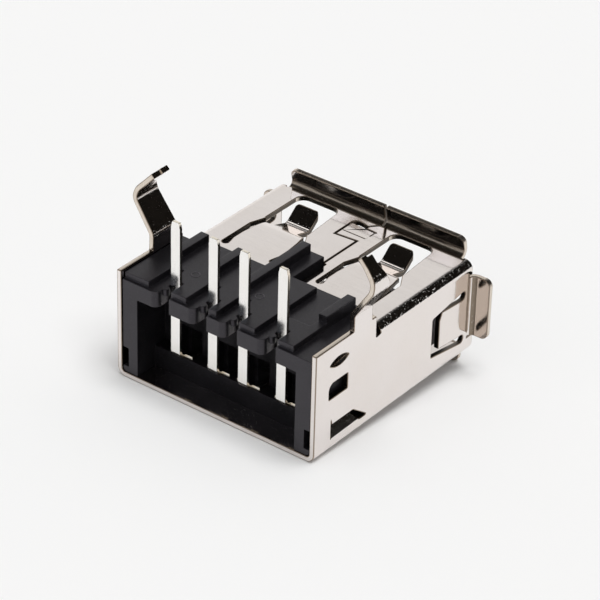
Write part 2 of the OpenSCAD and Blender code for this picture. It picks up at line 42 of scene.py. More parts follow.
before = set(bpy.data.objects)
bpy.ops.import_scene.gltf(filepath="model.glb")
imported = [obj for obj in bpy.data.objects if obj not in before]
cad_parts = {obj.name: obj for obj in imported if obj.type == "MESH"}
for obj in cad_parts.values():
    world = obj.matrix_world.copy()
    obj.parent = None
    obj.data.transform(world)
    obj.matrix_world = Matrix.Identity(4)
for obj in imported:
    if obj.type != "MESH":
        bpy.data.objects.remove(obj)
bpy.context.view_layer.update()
MM = 0.001
CONTACTS = ("contact_vbus", "contact_data_minus", "contact_data_plus", "contact_ground")

# Margins for comparing places
TOUCH = 0.001 * MM
NEAR = 0.01 * MM
MARGIN = 0.02 * MM
ROOT_MARGIN = 0.05 * MM
SLACK = 1.01
SHEET_SLACK = 1.03

# Limits that sort the faces and edges of a CAD node
WELD = 0.0004 * MM
SPLIT = 1e-8
FLAT_ANGLE = math.radians(0.4)
SIGHT = 20 * MM
SKIN_SHARE = 1.25
SLOT_REACH = 2.2 * MM
WINDOW_REACH = 8 * MM
WINDOW_BAND = 0.6 * MM
SOFT_ANGLES = (math.radians(1), math.radians(25))
CORNER_ANGLE = math.radians(32)
CORNER_ROOM = 2.6
FOLD_ANGLE = math.radians(16)
ROUND_ANGLE = math.radians(40)
ROUND_STEPS = 2

# Material place that tells the rounded faces apart until their mask is written
ROUNDED = 1

# Fingers of the CAD shell: slope, its start past the root, step and neck from the mouth, depth in the wall
SOLID_SLOPE = math.radians(8.5)
SOLID_START = 0.4 * MM
SOLID_STEP = 3.954 * MM
SOLID_NECK = 3.654 * MM
SOLID_DEPTH = (-0.3 * MM, 1.3 * MM)

# Fingers as they are shown: half width and distance from the mouth at the step and at the neck
SHOWN_STEP = (1.28 * MM, 4.25 * MM)
SHOWN_NECK = (0.82 * MM, 4.19 * MM)

# Edge of a finger from its root to its step: distance from the mouth and half width in millimetres
FINGER_EDGE = ((7.25, 1.42), (6.7, 1.56), (5.9, 1.56), (5.0, 1.46), (4.25, 1.3))

# Distances from the mouth in millimetres at which a finger is divided so that it can bend
FINGER_CUTS = (6.7, 5.9, 5.0, 4.7, 4.5, 4.3)

# Sides of the round rim of an ejector mark
RIM_SIDES = 8

# Stage: floor, cards around the part and the frame of the camera
FLOOR_REACH = 1.2
FLOOR_GAP = 0.004 * MM
CARD_DISTANCE = 0.3
CARD_STEPS = 12
CARD_GRAIN = 9.0
CARD_SHADE = 0.97
FLOOR_GRAIN = 14.0
FLOOR_SHADE = 0.995
SENSOR = 36.0
VIEW_RANGE = (0.005, 20.0)

# Dark cards that only reflections show: name, turn and rise in degrees
FLAGS = (
    ("flag_far_side", (-6, 80), (-1, 47)),
    ("flag_near_side_high", (-178, -92), (23, 60)),
    ("flag_near_side_low", (-178, -92), (-1, 8)),
)
FLAG_TONES = ((0.006, 0.0055, 0.005), (0.014, 0.012, 0.010))

# Bright cards that only reflections show: name, turn and rise in degrees, material, strength and tint
CARDS = (
    ("card_near_side", (-178, -92), (8, 23), "card_cool", 2.1, (0.92, 1.0, 1.12)),
    ("card_left_high", (-84, -58), (51, 64), "card_warm", 1.3, (1.0, 0.99, 0.97)),
)

# Ceiling that reflections show: rise in degrees and brightness, and the dark from its last rise on
CEILING = ((20, 1.0), (33, 0.87), (41, 0.14))
CEILING_END = 47
CEILING_DARK = (0.02, 0.018, 0.016)
DAYLIGHT = (1.0, 0.995, 0.985)


# Sizes and colours that a user would change


class ShellFinish(bpy.types.PropertyGroup):
    """Sizes and colours of the folded shell"""

    sheet: FloatProperty(
        name="Sheet", description="Thickness of the folded sheet", default=0.3 * MM, unit="LENGTH"
    )
    height: FloatProperty(
        name="Height", description="Height of the folded tube", default=5.72 * MM, unit="LENGTH"
    )
    lip_bend: FloatProperty(
        name="Lip bend", description="Radius of the lips' bend", default=0.3 * MM, unit="LENGTH"
    )
    lip_reach: FloatProperty(
        name="Lip reach", description="Height of the lips over the walls", default=1.1 * MM, unit="LENGTH"
    )
    lip_width: FloatProperty(
        name="Lip width", description="Width of the upper lip", default=11.6 * MM, unit="LENGTH"
    )
    lip_lean: FloatProperty(
        name="Lip lean", description="Angle by which the upper lip leans back over the plate",
        default=math.radians(12), subtype="ANGLE",
    )
    window_middle: FloatProperty(
        name="Window middle", description="Distance of the finger windows from the middle",
        default=3.17 * MM, unit="LENGTH",
    )
    window_half: FloatProperty(
        name="Window half", description="Half the width of a finger window",
        default=1.56 * MM, unit="LENGTH",
    )
    window_span: FloatVectorProperty(
        name="Window span", description="Distance of a finger window's ends from the mouth",
        default=(0.7 * MM, 3.98 * MM), size=2, unit="LENGTH",
    )
    window_trim: FloatProperty(
        name="Window trim", description="How much narrower the finger windows are on one side",
        default=0.45 * MM, unit="LENGTH",
    )
    finger_root: FloatProperty(
        name="Finger root", description="Distance of the fingers' roots from the mouth",
        default=7.3 * MM, unit="LENGTH",
    )
    finger_half: FloatProperty(
        name="Finger half", description="Half the width of a finger at its root",
        default=1.42 * MM, unit="LENGTH",
    )
    finger_kink: FloatProperty(
        name="Finger kink", description="Distance of the fingers' kinks from the mouth",
        default=3.35 * MM, unit="LENGTH",
    )
    finger_end: FloatProperty(
        name="Finger end", description="Distance of the fingers' tips from the mouth",
        default=2.05 * MM, unit="LENGTH",
    )
    finger_lift: FloatProperty(
        name="Finger lift", description="How much higher the fingers' tips lie",
        default=0.18 * MM, unit="LENGTH",
    )
    finger_drop: FloatProperty(
        name="Finger drop", description="Fall of a finger per length past its bend", default=0.296
    )
    finger_bend: FloatVectorProperty(
        name="Finger bend", description="Distance of the start and end of a finger's bend from the mouth",
        default=(4.7 * MM, 4.3 * MM), size=2, unit="LENGTH",
    )
    edge_round: FloatProperty(
        name="Edge rounding", description="Rounding of the sheared edges", default=0.05 * MM, unit="LENGTH"
    )
    plate: FloatVectorProperty(
        name="Plate", description="Colour of the bright plating",
        default=(0.84, 0.79, 0.765), size=3, subtype="COLOR", min=0, max=1,
    )
    plate_warm: FloatVectorProperty(
        name="Warm plate", description="Colour of the plating where it is thinner",
        default=(0.82, 0.765, 0.73), size=3, subtype="COLOR", min=0, max=1,
    )
    sheared: FloatVectorProperty(
        name="Sheared edge", description="Colour of the sheet where it was cut",
        default=(0.74, 0.67, 0.59), size=3, subtype="COLOR", min=0, max=1,
    )
    rolled_tone: FloatVectorProperty(
        name="Rolling lines", description="Colour of the lines that rolling left in the plating",
        default=(0.62, 0.58, 0.55), size=3, subtype="COLOR", min=0, max=1,
    )
    shear_tone: FloatVectorProperty(
        name="Shear lines", description="Colour of the darker lines on a sheared edge",
        default=(0.52, 0.43, 0.34), size=3, subtype="COLOR", min=0, max=1,
    )
    # Painted shade: the lips are coloured darker to stand in for the dark surroundings that their rear
    # faces reflect.
    lip_shade_tone: FloatVectorProperty(
        name="Lip tone", description="Colour of the plating on the upper and lower lips",
        default=(0.50, 0.455, 0.415), size=3, subtype="COLOR", min=0, max=1,
    )
    # Painted shade: the lips' bends are coloured dark brown to stand in for the dark reflection in the
    # bend.
    bend_shade_tone: FloatVectorProperty(
        name="Lip bend tone", description="Colour of the stretched plating in the lips' bends",
        default=(0.24, 0.195, 0.15), size=3, subtype="COLOR", min=0, max=1,
    )
    # Painted shade: the side lips are coloured taupe to stand in for the shaded floor that they reflect.
    ear_shade_tone: FloatVectorProperty(
        name="Ear tone", description="Colour of the plating on the side lips",
        default=(0.62, 0.54, 0.47), size=3, subtype="COLOR", min=0, max=1,
    )
    # Painted shade: every rounded rim of the shell is coloured dark to stand in for the dark line that the
    # rims reflect.
    rim_shade_tone: FloatVectorProperty(
        name="Rim tone", description="Colour of the rolled-over rim of a sheared edge",
        default=(0.30, 0.24, 0.19), size=3, subtype="COLOR", min=0, max=1,
    )
    # Painted glints: white matt specks on the folds stand in for the glints of the stretched plating.
    glint: FloatVectorProperty(
        name="Glint", description="Colour of the broken plating that glints on the folds",
        default=(0.85, 0.83, 0.80), size=3, subtype="COLOR", min=0, max=1,
    )
    # Painted shade: sheared edges in slots and on the walls of windows are coloured near black to stand in
    # for the shade there.
    slot_tone: FloatVectorProperty(
        name="Slot tone", description="Colour of the torn metal inside slots and windows",
        default=(0.10, 0.085, 0.07), size=3, subtype="COLOR", min=0, max=1,
    )


class HousingFinish(bpy.types.PropertyGroup):
    """Sizes and colours of the moulded housing"""

    edge_round: FloatProperty(
        name="Edge rounding", description="Rounding of the moulded edges", default=0.045 * MM, unit="LENGTH"
    )
    plastic: FloatVectorProperty(
        name="Plastic", description="Colour of the moulded plastic",
        default=(0.0045, 0.0042, 0.005), size=3, subtype="COLOR", min=0, max=1,
    )
    fibre: FloatVectorProperty(
        name="Fibre", description="Colour of the glass filler that shows through the skin",
        default=(0.05, 0.047, 0.053), size=3, subtype="COLOR", min=0, max=1,
    )
    sheen: FloatVectorProperty(
        name="Sheen", description="Tint of the light that the matte skin throws back",
        default=(0.96, 0.90, 1.0), size=3, subtype="COLOR", min=0, max=1,
    )
    floor_low: FloatVectorProperty(
        name="Low floor start",
        description="Lowest corner of the room over the low floor beside the last tail",
        default=(-4.35 * MM, 1.4 * MM, 7.1 * MM), size=3, subtype="TRANSLATION", unit="LENGTH",
    )
    floor_high: FloatVectorProperty(
        name="Low floor end",
        description="Highest corner of the room over the low floor beside the last tail",
        default=(-2.4 * MM, 4.75 * MM, 7.6 * MM), size=3, subtype="TRANSLATION", unit="LENGTH",
    )
    # The recess span and top set where the plastic's reflection is turned down as painted shade.
    recess_span: FloatVectorProperty(
        name="Recess span", description="Distance of the dull inside of the open back from the rear face",
        default=(0.5 * MM, 6.0 * MM), size=2, unit="LENGTH",
    )
    recess_top: FloatProperty(
        name="Recess top", description="Height of the comb over the open back",
        default=2.0 * MM, unit="LENGTH",
    )


class MarkFinish(bpy.types.PropertyGroup):
    """Sizes and places of the ejector marks on the comb"""

    first: FloatVectorProperty(
        name="First mark", description="Middle of the first ejector mark",
        default=(3.2 * MM, 4.68 * MM, 7.45 * MM), size=3, subtype="TRANSLATION", unit="LENGTH",
    )
    second: FloatVectorProperty(
        name="Second mark", description="Middle of the second ejector mark",
        default=(-0.66 * MM, 4.2 * MM, 7.45 * MM), size=3, subtype="TRANSLATION", unit="LENGTH",
    )
    radius: FloatProperty(
        name="Radius", description="Radius of an ejector mark", default=0.23 * MM, unit="LENGTH"
    )
    rim: FloatProperty(
        name="Rim", description="Half the width of an ejector mark's rim",
        default=0.025 * MM, unit="LENGTH",
    )
    sides: IntProperty(
        name="Sides", description="Sides of an ejector mark's ring", default=28, min=8, max=64
    )
    worn: FloatVectorProperty(
        name="Worn plastic", description="Colour of the plastic where the ejector pins pressed",
        default=(0.07, 0.066, 0.072), size=3, subtype="COLOR", min=0, max=1,
    )


class ContactFinish(bpy.types.PropertyGroup):
    """Sizes and colours of the stamped contacts"""

    sheet: FloatProperty(
        name="Sheet", description="Thickness of the contact strip", default=0.2 * MM, unit="LENGTH"
    )
    edge_round: FloatProperty(
        name="Edge rounding", description="Rounding of the stamped edges", default=0.02 * MM, unit="LENGTH"
    )
    tin: FloatVectorProperty(
        name="Tin", description="Colour of the tin plating",
        default=(0.93, 0.915, 0.89), size=3, subtype="COLOR", min=0, max=1,
    )
    dull: FloatVectorProperty(
        name="Dull tin", description="Colour of the duller clouds in the tin plating",
        default=(0.86, 0.83, 0.77), size=3, subtype="COLOR", min=0, max=1,
    )
    core: FloatVectorProperty(
        name="Core", description="Colour of the copper alloy at the cut sides",
        default=(0.86, 0.78, 0.64), size=3, subtype="COLOR", min=0, max=1,
    )


class StudioSetup(bpy.types.PropertyGroup):
    """Floor, light and camera"""

    floor: FloatVectorProperty(
        name="Floor", description="Colour of the floor",
        default=(0.92, 0.92, 0.92), size=3, subtype="COLOR", min=0, max=1,
    )
    dome: FloatProperty(
        name="Dome", description="Strength of the even light around the part", default=0.42
    )
    backdrop: FloatProperty(
        name="Backdrop", description="Brightness of the backdrop, where 1 is white", default=0.93
    )
    key: FloatProperty(
        name="Key light", description="Strength of the soft light from above", default=1.9
    )
    key_spread: FloatProperty(
        name="Key spread", description="Angle that the soft light covers",
        default=math.radians(36), subtype="ANGLE",
    )
    key_heading: FloatVectorProperty(
        name="Key heading", description="Turn and rise of the soft light in degrees",
        default=(72.0, 79.0), size=2,
    )
    lens: FloatProperty(name="Lens", description="Focal length in millimetres", default=178.44)
    eye: FloatVectorProperty(
        name="Camera", description="Place of the camera",
        default=(-0.08017, 0.10601, 0.08863), size=3, subtype="TRANSLATION", unit="LENGTH",
    )
    aim: FloatVectorProperty(
        name="Aim", description="Point that the camera looks at",
        default=(0.0, 0.00105, 0.0041), size=3, subtype="TRANSLATION", unit="LENGTH",
    )
    roll: FloatProperty(
        name="Roll", description="Turn of the camera about its line of sight",
        default=math.radians(1.39), subtype="ANGLE",
    )
    shift: FloatVectorProperty(
        name="Shift", description="Shift of the frame", default=(0.0233, 0.0358), size=2
    )


# Helpers for node trees


def wire(tree, source, target):
    """Joins two sockets of a node tree."""
    tree.links.new(source, target)


def add(tree, kind, **values):
    """Adds a node and sets the named inputs or attributes."""
    node = tree.nodes.new(kind)
    for key, value in values.items():
        if key in node.inputs:
            node.inputs[key].default_value = value
        else:
            setattr(node, key, value)
    return node


def blank_material(name):
    """A material with only a Principled shader and the object's own coordinates."""
    old = bpy.data.materials.get(name)
    if old:
        bpy.data.materials.remove(old)
    material = bpy.data.materials.new(name)
    material.use_nodes = True
    tree = material.node_tree
    tree.nodes.clear()
    out = tree.nodes.new("ShaderNodeOutputMaterial")
    shader = tree.nodes.new("ShaderNodeBsdfPrincipled")
    wire(tree, shader.outputs["BSDF"], out.inputs["Surface"])
    place = tree.nodes.new("ShaderNodeTexCoord")
    return material, tree, shader, place.outputs["Object"]


def grain(tree, place, scale, stretch=(1, 1, 1), detail=3.0, rough=0.5):
    """Noise on the object's coordinates. scale times stretch is the features per metre along each axis."""
    mapping = add(tree, "ShaderNodeMapping", Scale=stretch)
    wire(tree, place, mapping.inputs["Vector"])
    noise = add(tree, "ShaderNodeTexNoise", Scale=scale, Detail=detail, Roughness=rough)
    wire(tree, mapping.outputs["Vector"], noise.inputs["Vector"])
    return noise.outputs["Fac"]


def ramp(tree, source, span, values):
    """A value that runs from one to the other of values while source runs through span."""
    node = tree.nodes.new("ShaderNodeMapRange")
    for side, pair in (("From", span), ("To", values)):
        node.inputs[side + " Min"].default_value, node.inputs[side + " Max"].default_value = pair
    wire(tree, source, node.inputs["Value"])
    return node.outputs["Result"]


def blend(tree, factor, a, b):
    """A colour between a and b, each a colour or a socket."""
    node = tree.nodes.new("ShaderNodeMix")
    node.data_type = "RGBA"
    wire(tree, factor, node.inputs[0])
    for value, socket in ((a, node.inputs[6]), (b, node.inputs[7])):
        if isinstance(value, bpy.types.NodeSocket):
            wire(tree, value, socket)
        else:
            socket.default_value = (*value, 1.0)
    return node.outputs[2]


def maths(tree, operation, a, b):
    """One Math node. a and b are sockets or numbers."""
    node = tree.nodes.new("ShaderNodeMath")
    node.operation = operation
    for value, socket in ((a, node.inputs[0]), (b, node.inputs[1])):
        if isinstance(value, bpy.types.NodeSocket):
            wire(tree, value, socket)
        else:
            socket.default_value = value
    return node.outputs[0]


def relief(tree, shader, height, distance, strength):
    """Bump from a height value."""
    node = add(tree, "ShaderNodeBump", Strength=strength, Distance=distance)
    wire(tree, height, node.inputs["Height"])
    wire(tree, node.outputs["Normal"], shader.inputs["Normal"])


def share(tree, name):
    """The value of a face mask: 1 on the faces that the mask names and 0 on the others."""
    node = tree.nodes.new("ShaderNodeAttribute")
    node.attribute_name = name
    return node.outputs["Fac"]


# Materials of the pieces


def nickel_plate(finish):
    """Bright plating on rolled sheet with pits and orange peel on the bends, with painted shade in the
    slots and on the rounded rims, darker colours on the lips that paint their dark reflections, and white
    specks that paint glints on the folds.
    """
    material, tree, shader, place = blank_material("bright_nickel_plate")
    cut, slot, bent = (share(tree, name) for name in ("cut", "slot", "bent"))
    lip, ear, rim = (share(tree, name) for name in ("lip", "ear", "rim"))
    cloud = grain(tree, place, scale=260.0, detail=2.0)
    rolled = grain(tree, place, scale=1.0, stretch=(700.0, 9000.0, 9000.0), detail=4.0, rough=0.6)
    shear = grain(tree, place, scale=1.0, stretch=(16000.0, 16000.0, 2500.0), detail=3.0)
    speck = grain(tree, place, scale=21000.0, detail=1.0)
    peel = grain(tree, place, scale=11000.0, detail=2.0, rough=0.6)
    pits = ramp(tree, speck, span=(0.66, 0.74), values=(0.0, 1.0))
    warmth = ramp(tree, cloud, span=(0.35, 0.65), values=(0.0, 1.0))
    lines = ramp(tree, rolled, span=(0.3, 0.7), values=(0.0, 0.12))
    lip_bend = maths(tree, "MULTIPLY", bent, lip)
    # The lips, side lips and lips' bends get darker colours as painted shade, standing in for the dark
    # reflections they show.
    skin = finish.plate
    for mask, tone in (
        (warmth, finish.plate_warm),
        (lines, finish.rolled_tone),
        (lip, finish.lip_shade_tone),
        (ear, finish.ear_shade_tone),
        (lip_bend, finish.bend_shade_tone),
    ):
        skin = blend(tree, mask, skin, tone)
    tears = ramp(tree, shear, span=(0.3, 0.7), values=(0.0, 0.5))
    edge = blend(tree, tears, finish.sheared, finish.shear_tone)
    # Painted shade: sheared faces in slots and facing near walls turn near black.
    edge = blend(tree, slot, edge, finish.slot_tone)
    tone = blend(tree, cut, skin, edge)
    # Painted shade: the rounded rims turn dark.
    tone = blend(tree, rim, tone, finish.rim_shade_tone)
    folds = maths(tree, "SUBTRACT", bent, maths(tree, "MULTIPLY", lip_bend, 0.6))
    # Painted glints: where the specks fall on a fold the plating turns white and matt.
    broken = ramp(tree, peel, span=(0.65, 0.69), values=(0.0, 1.0))
    sparks = maths(tree, "MULTIPLY", broken, folds)
    wire(tree, blend(tree, sparks, tone, finish.glint), shader.inputs["Base Color"])
    wire(tree, maths(tree, "SUBTRACT", 1.0, sparks), shader.inputs["Metallic"])
    gloss = ramp(tree, rolled, span=(0.25, 0.75), values=(0.06, 0.12))
    for mask, more in ((pits, 0.18), (cut, 0.05), (slot, 0.2), (sparks, 0.6), (lip, 0.04), (lip_bend, 0.2)):
        gloss = maths(tree, "ADD", gloss, maths(tree, "MULTIPLY", mask, more))
    wire(tree, gloss, shader.inputs["Roughness"])
    bumps = ramp(tree, peel, span=(0.5, 0.75), values=(0.0, 1.0))
    height = maths(tree, "SUBTRACT", rolled, maths(tree, "MULTIPLY", pits, 2.0))
    for mask, depth in ((bent, 10.0), (lip, 3.0)):
        rise = maths(tree, "MULTIPLY", bumps, maths(tree, "MULTIPLY", mask, depth))
        height = maths(tree, "ADD", height, rise)
    relief(tree, shader, height, distance=0.4e-6, strength=0.5)
    return material


def moulded_plastic(name, plastic, housing):
    """Charcoal filled plastic with a fine matte skin and pale filler specks, with its reflection turned
    down inside the open back as painted shade.
    """
    material, tree, shader, place = blank_material(name)
    cloud = grain(tree, place, scale=420.0, detail=2.0)
    skin = grain(tree, place, scale=9000.0, detail=4.0, rough=0.6)
    speck = grain(tree, place, scale=15000.0, detail=2.0)
    fibres = ramp(tree, speck, span=(0.6, 0.72), values=(0.0, 0.5))
    paler = ramp(tree, cloud, span=(0.3, 0.7), values=(0.0, 0.15))
    base = blend(tree, paler, plastic, housing.fibre)
    # Painted shade: less specular reflection inside the open back makes it darker.
    shine = ramp(tree, share(tree, "recess_shade"), span=(0.0, 1.0), values=(0.55, 0.14))
    gloss = ramp(tree, skin, span=(0.25, 0.75), values=(0.28, 0.44))
    wire(tree, blend(tree, fibres, base, housing.fibre), shader.inputs["Base Color"])
    wire(tree, shine, shader.inputs["Specular IOR Level"])
    wire(tree, gloss, shader.inputs["Roughness"])
    shader.inputs["Specular Tint"].default_value = (*housing.sheen, 1.0)
    relief(tree, shader, skin, distance=3.0e-6, strength=0.6)
    return material


def tin_plate(finish):
    """Bright tin on a stamped strip, with the copper alloy showing at the cut sides."""
    material, tree, shader, place = blank_material("bright_tin_plate")
    cloud = grain(tree, place, scale=900.0, detail=3.0)
    drawn = grain(tree, place, scale=1.0, stretch=(9000.0, 9000.0, 500.0), detail=2.0)
    clouds = ramp(tree, cloud, span=(0.35, 0.65), values=(0.0, 0.3))
    smears = ramp(tree, drawn, span=(0.3, 0.7), values=(0.0, 0.6))
    gloss = ramp(tree, drawn, span=(0.25, 0.75), values=(0.12, 0.22))
    skin = blend(tree, clouds, finish.tin, finish.dull)
    side = blend(tree, smears, finish.core, finish.tin)
    wire(tree, blend(tree, share(tree, "cut"), skin, side), shader.inputs["Base Color"])
    wire(tree, gloss, shader.inputs["Roughness"])
    shader.inputs["Metallic"].default_value = 1.0
    relief(tree, shader, drawn, distance=0.3e-6, strength=0.4)
    return material


# Shapes of the pieces


def placed(name, data):
    """A new object in the scene, at the origin."""
    item = bpy.data.objects.new(name, data)
    bpy.context.scene.collection.objects.link(item)
    return item


def make_plain(piece):
    """Gives a piece the mesh that its modifiers make and takes the modifiers away."""
    raw = piece.data
    bpy.context.view_layer.update()
    made = piece.evaluated_get(bpy.context.evaluated_depsgraph_get())
    plain = bpy.data.meshes.new_from_object(made)
    piece.modifiers.clear()
    if not plain.polygons:
        raise RuntimeError(f"{piece.name} has no faces")
    piece.data = plain
    bpy.data.meshes.remove(raw)
    plain.name = piece.name
    return plain


def join_flats(work):
    """Closes a mesh of loose faces and joins the faces that lie in one plane."""
    bmesh.ops.remove_doubles(work, verts=work.verts, dist=WELD)
    bmesh.ops.dissolve_limit(
        work, angle_limit=FLAT_ANGLE, use_dissolve_boundaries=False,
        verts=work.verts, edges=work.edges, delimit=set(),
    )
    work.normal_update()


def merged(node):
    """A closed copy of a CAD node's mesh with its flat faces joined."""
    work = bmesh.new()
    work.from_mesh(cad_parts[node].data)
    join_flats(work)
    return work


def mark_cut_faces(work, sheet):
    """Masks the faces that aren't one of the sheet's two skins, and those that face a wall close by, which
    get painted shade.
    """
    cut = work.faces.layers.float.new("cut")
    slot = work.faces.layers.float.new("slot")
    tree = BVHTree.FromBMesh(work)
    for face in work.faces:
        middle = face.calc_center_median_weighted()
        *_, behind = tree.ray_cast(middle - face.normal * NEAR, -face.normal, SIGHT)
        if (behind or 0.0) + NEAR < sheet * SKIN_SHARE:
            continue
        face[cut] = 1.0
        *_, ahead = tree.ray_cast(middle + face.normal * NEAR, face.normal, WINDOW_REACH)
        if ahead:
            face[slot] = 1.0 if ahead < SLOT_REACH else abs(face.normal.y)


def mark_bends(work, widest):
    """Masks the narrow faces that a fold is made of."""
    bent = work.faces.layers.float.new("bent")
    least, most = SOFT_ANGLES
    for face in work.faces:
        longest = max(edge.calc_length() for edge in face.edges)
        soft = [edge for edge in face.edges if least < edge.calc_face_angle(0.0) < most]
        if len(soft) > 1 and face.calc_area() / longest < widest:
            face[bent] = 1.0


def mark_lips(work, start, side):
    """Masks the lips, which lie in front of the plane where the walls end, and the side lips among them."""
    lip = work.faces.layers.float.new("lip")
    ear = work.faces.layers.float.new("ear")
    for face in work.faces:
        middle = face.calc_center_median_weighted()
        if middle.y < start - MARGIN:
            face[lip] = 1.0
            face[ear] = 1.0 if abs(middle.x) > side else 0.0


def ring_tree():
    """Node tree that sets a ring on each point, and the identifiers of its inputs."""
    tree = bpy.data.node_groups.new("ejector_rings", "GeometryNodeTree")
    for way in ("INPUT", "OUTPUT"):
        tree.interface.new_socket("Geometry", in_out=way, socket_type="NodeSocketGeometry")
    sockets = {}
    for name, kind in (("Radius", "Float"), ("Rim", "Float"), ("Sides", "Int"), ("Material", "Material")):
        socket = tree.interface.new_socket(name, in_out="INPUT", socket_type="NodeSocket" + kind)
        sockets[name] = socket.identifier
    given = tree.nodes.new("NodeGroupInput")
    path = tree.nodes.new("GeometryNodeCurvePrimitiveCircle")
    profile = add(tree, "GeometryNodeCurvePrimitiveCircle", Resolution=RIM_SIDES)
    tube = tree.nodes.new("GeometryNodeCurveToMesh")
    spread = tree.nodes.new("GeometryNodeInstanceOnPoints")
    plain = tree.nodes.new("GeometryNodeRealizeInstances")
    paint = tree.nodes.new("GeometryNodeSetMaterial")
    out = tree.nodes.new("NodeGroupOutput")
    for source, target in (
        (given.outputs["Sides"], path.inputs["Resolution"]),
        (given.outputs["Radius"], path.inputs["Radius"]),
        (given.outputs["Rim"], profile.inputs["Radius"]),
        (path.outputs["Curve"], tube.inputs["Curve"]),
        (profile.outputs["Curve"], tube.inputs["Profile Curve"]),
        (given.outputs["Geometry"], spread.inputs["Points"]),
        (tube.outputs["Mesh"], spread.inputs["Instance"]),
        (spread.outputs["Instances"], plain.inputs["Geometry"]),
        (plain.outputs["Geometry"], paint.inputs["Geometry"]),
        (given.outputs["Material"], paint.inputs["Material"]),
        (paint.outputs["Geometry"], out.inputs["Geometry"]),
    ):
        wire(tree, source, target)
    return tree, sockets


def own_level(value, levels):
    """The piece's own level beside a wanted one, or the wanted one where there is none."""
    nearest = min(levels, key=lambda level: abs(level - value))
    return nearest if abs(nearest - value) < NEAR else value


def cut_room(work, low, high):
    """A prepared mesh with a box taken out of it."""
    ends = []
    for axis in range(3):
        levels = {corner.co[axis] for corner in work.verts}
        ends.append((own_level(low[axis], levels), own_level(high[axis], levels)))
    cutter = bmesh.new()
    bmesh.ops.create_cube(cutter, size=1.0)
    for corner in cutter.verts:
        corner.co = [ends[axis][corner.co[axis] > 0] for axis in range(3)]
    objects = []
    for part in (work, cutter):
        mesh = bpy.data.meshes.new("room")
        part.to_mesh(mesh)
        part.free()
        objects.append(placed("room", mesh))
    body, box = objects
    cut = body.modifiers.new("cut", "BOOLEAN")
    cut.operation = "DIFFERENCE"
    cut.solver = "EXACT"
    cut.object = box
    bpy.context.view_layer.update()
    result = bmesh.new()
    result.from_object(body, bpy.context.evaluated_depsgraph_get())
    for item in objects:
        mesh = item.data
        bpy.data.objects.remove(item)
        bpy.data.meshes.remove(mesh)
    if not result.faces:
        raise RuntimeError("Nothing is left of the piece after the cut")
    join_flats(result)
    return result


def mark_recess(work, finish):
    """Masks the inside of the open back, under the comb, where the plastic's reflection is turned down as
    painted shade.
    """
    recess_shade = work.faces.layers.float.new("recess_shade")
    _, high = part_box("housing")
    near, far = finish.recess_span
    for face in work.faces:
        middle = face.calc_center_median_weighted()
        if near < high.y - middle.y < far and middle.z < high.z - finish.recess_top:
            face[recess_shade] = 1.0


def lean_lip(work, finish, plate, axis_y):
    """Bends the upper lip past the upright, back over the plate, with its top at the same height."""
    axis_z = plate + finish.lip_bend
    top = finish.lip_reach - finish.lip_bend
    outer = finish.lip_bend + finish.sheet
    turn = finish.lip_lean
    keep = (top - outer * math.sin(turn)) / (top * math.cos(turn))
    for vertex in work.verts:
        out, up = axis_y - vertex.co.y, vertex.co.z - axis_z
        beside = abs(vertex.co.x) > finish.lip_width / 2 + NEAR
        if out < TOUCH or up < -SLACK * outer or beside:
            continue
        radius = math.hypot(out, up)
        if up < 0:
            angle = math.atan2(out, -up) * (1 + turn / (math.pi / 2))
            out, up = radius * math.sin(angle), -radius * math.cos(angle)
        else:
            up *= keep
            out, up = out * math.cos(turn) - up * math.sin(turn), out * math.sin(turn) + up * math.cos(turn)
        vertex.co.y, vertex.co.z = axis_y - out, axis_z + up


def between(points, place):
    """The value at a place, from pairs of a falling place and its value."""
    for (start, first), (end, last) in zip(points, points[1:]):
        if place >= end:
            return first + (last - first) * min(1.0, (start - place) / (start - end))
    return points[-1][1]


def reshape_fingers(work, finish, wall, up, mouth):
    """Keeps the fingers of one wall level with it up to their step, wider, and bends them in from there."""
    start, end = finish.finger_bend
    bend = start - end
    highest, deepest = SOLID_DEPTH

    def inside(vertex, middle):
        """Whether a corner belongs to the finger at a place across the wall."""
        if abs(vertex.co.x - middle) >= finish.finger_half + NEAR:
            return False
        if not finish.finger_end < vertex.co.y - mouth < finish.finger_root + NEAR:
            return False
        return highest < up * (wall - vertex.co.z) < deepest

    for middle in (-finish.window_middle, finish.window_middle):
        for reach in FINGER_CUTS:
            faces = [face for face in work.faces if all(inside(vertex, middle) for vertex in face.verts)]
            edges = {edge for face in faces for edge in face.edges}
            verts = {vertex for face in faces for vertex in face.verts}
            bmesh.ops.bisect_plane(
                work, geom=[*faces, *edges, *verts], dist=SPLIT,
                plane_co=(0.0, mouth + reach * MM, 0.0), plane_no=(0.0, 1.0, 0.0),
            )
        for vertex in work.verts:
            reach = vertex.co.y - mouth
            if not inside(vertex, middle) or reach > finish.finger_root - ROOT_MARGIN:
                continue
            if reach < finish.finger_kink:
                vertex.co.z += up * finish.finger_lift
                continue
            slope = max(0.0, finish.finger_root - SOLID_START - reach) * math.tan(SOLID_SLOPE)
            under = up * (wall - vertex.co.z) - slope > finish.sheet / 2
            side = 1 if vertex.co.x > middle else -1
            if abs(reach - SOLID_NECK) < MARGIN:
                half, reach = SHOWN_NECK
            elif abs(reach - SOLID_STEP) < MARGIN:
                half, reach = SHOWN_STEP
            else:
                half = between(FINGER_EDGE, reach / MM) * MM
            vertex.co.x = middle + side * half
            vertex.co.y = mouth + reach
            run = max(0.0, start - reach)
            fall = run * run / (2 * bend) if run < bend else run - bend / 2
            vertex.co.z = wall - up * (finish.finger_drop * fall + (finish.sheet if under else 0.0))


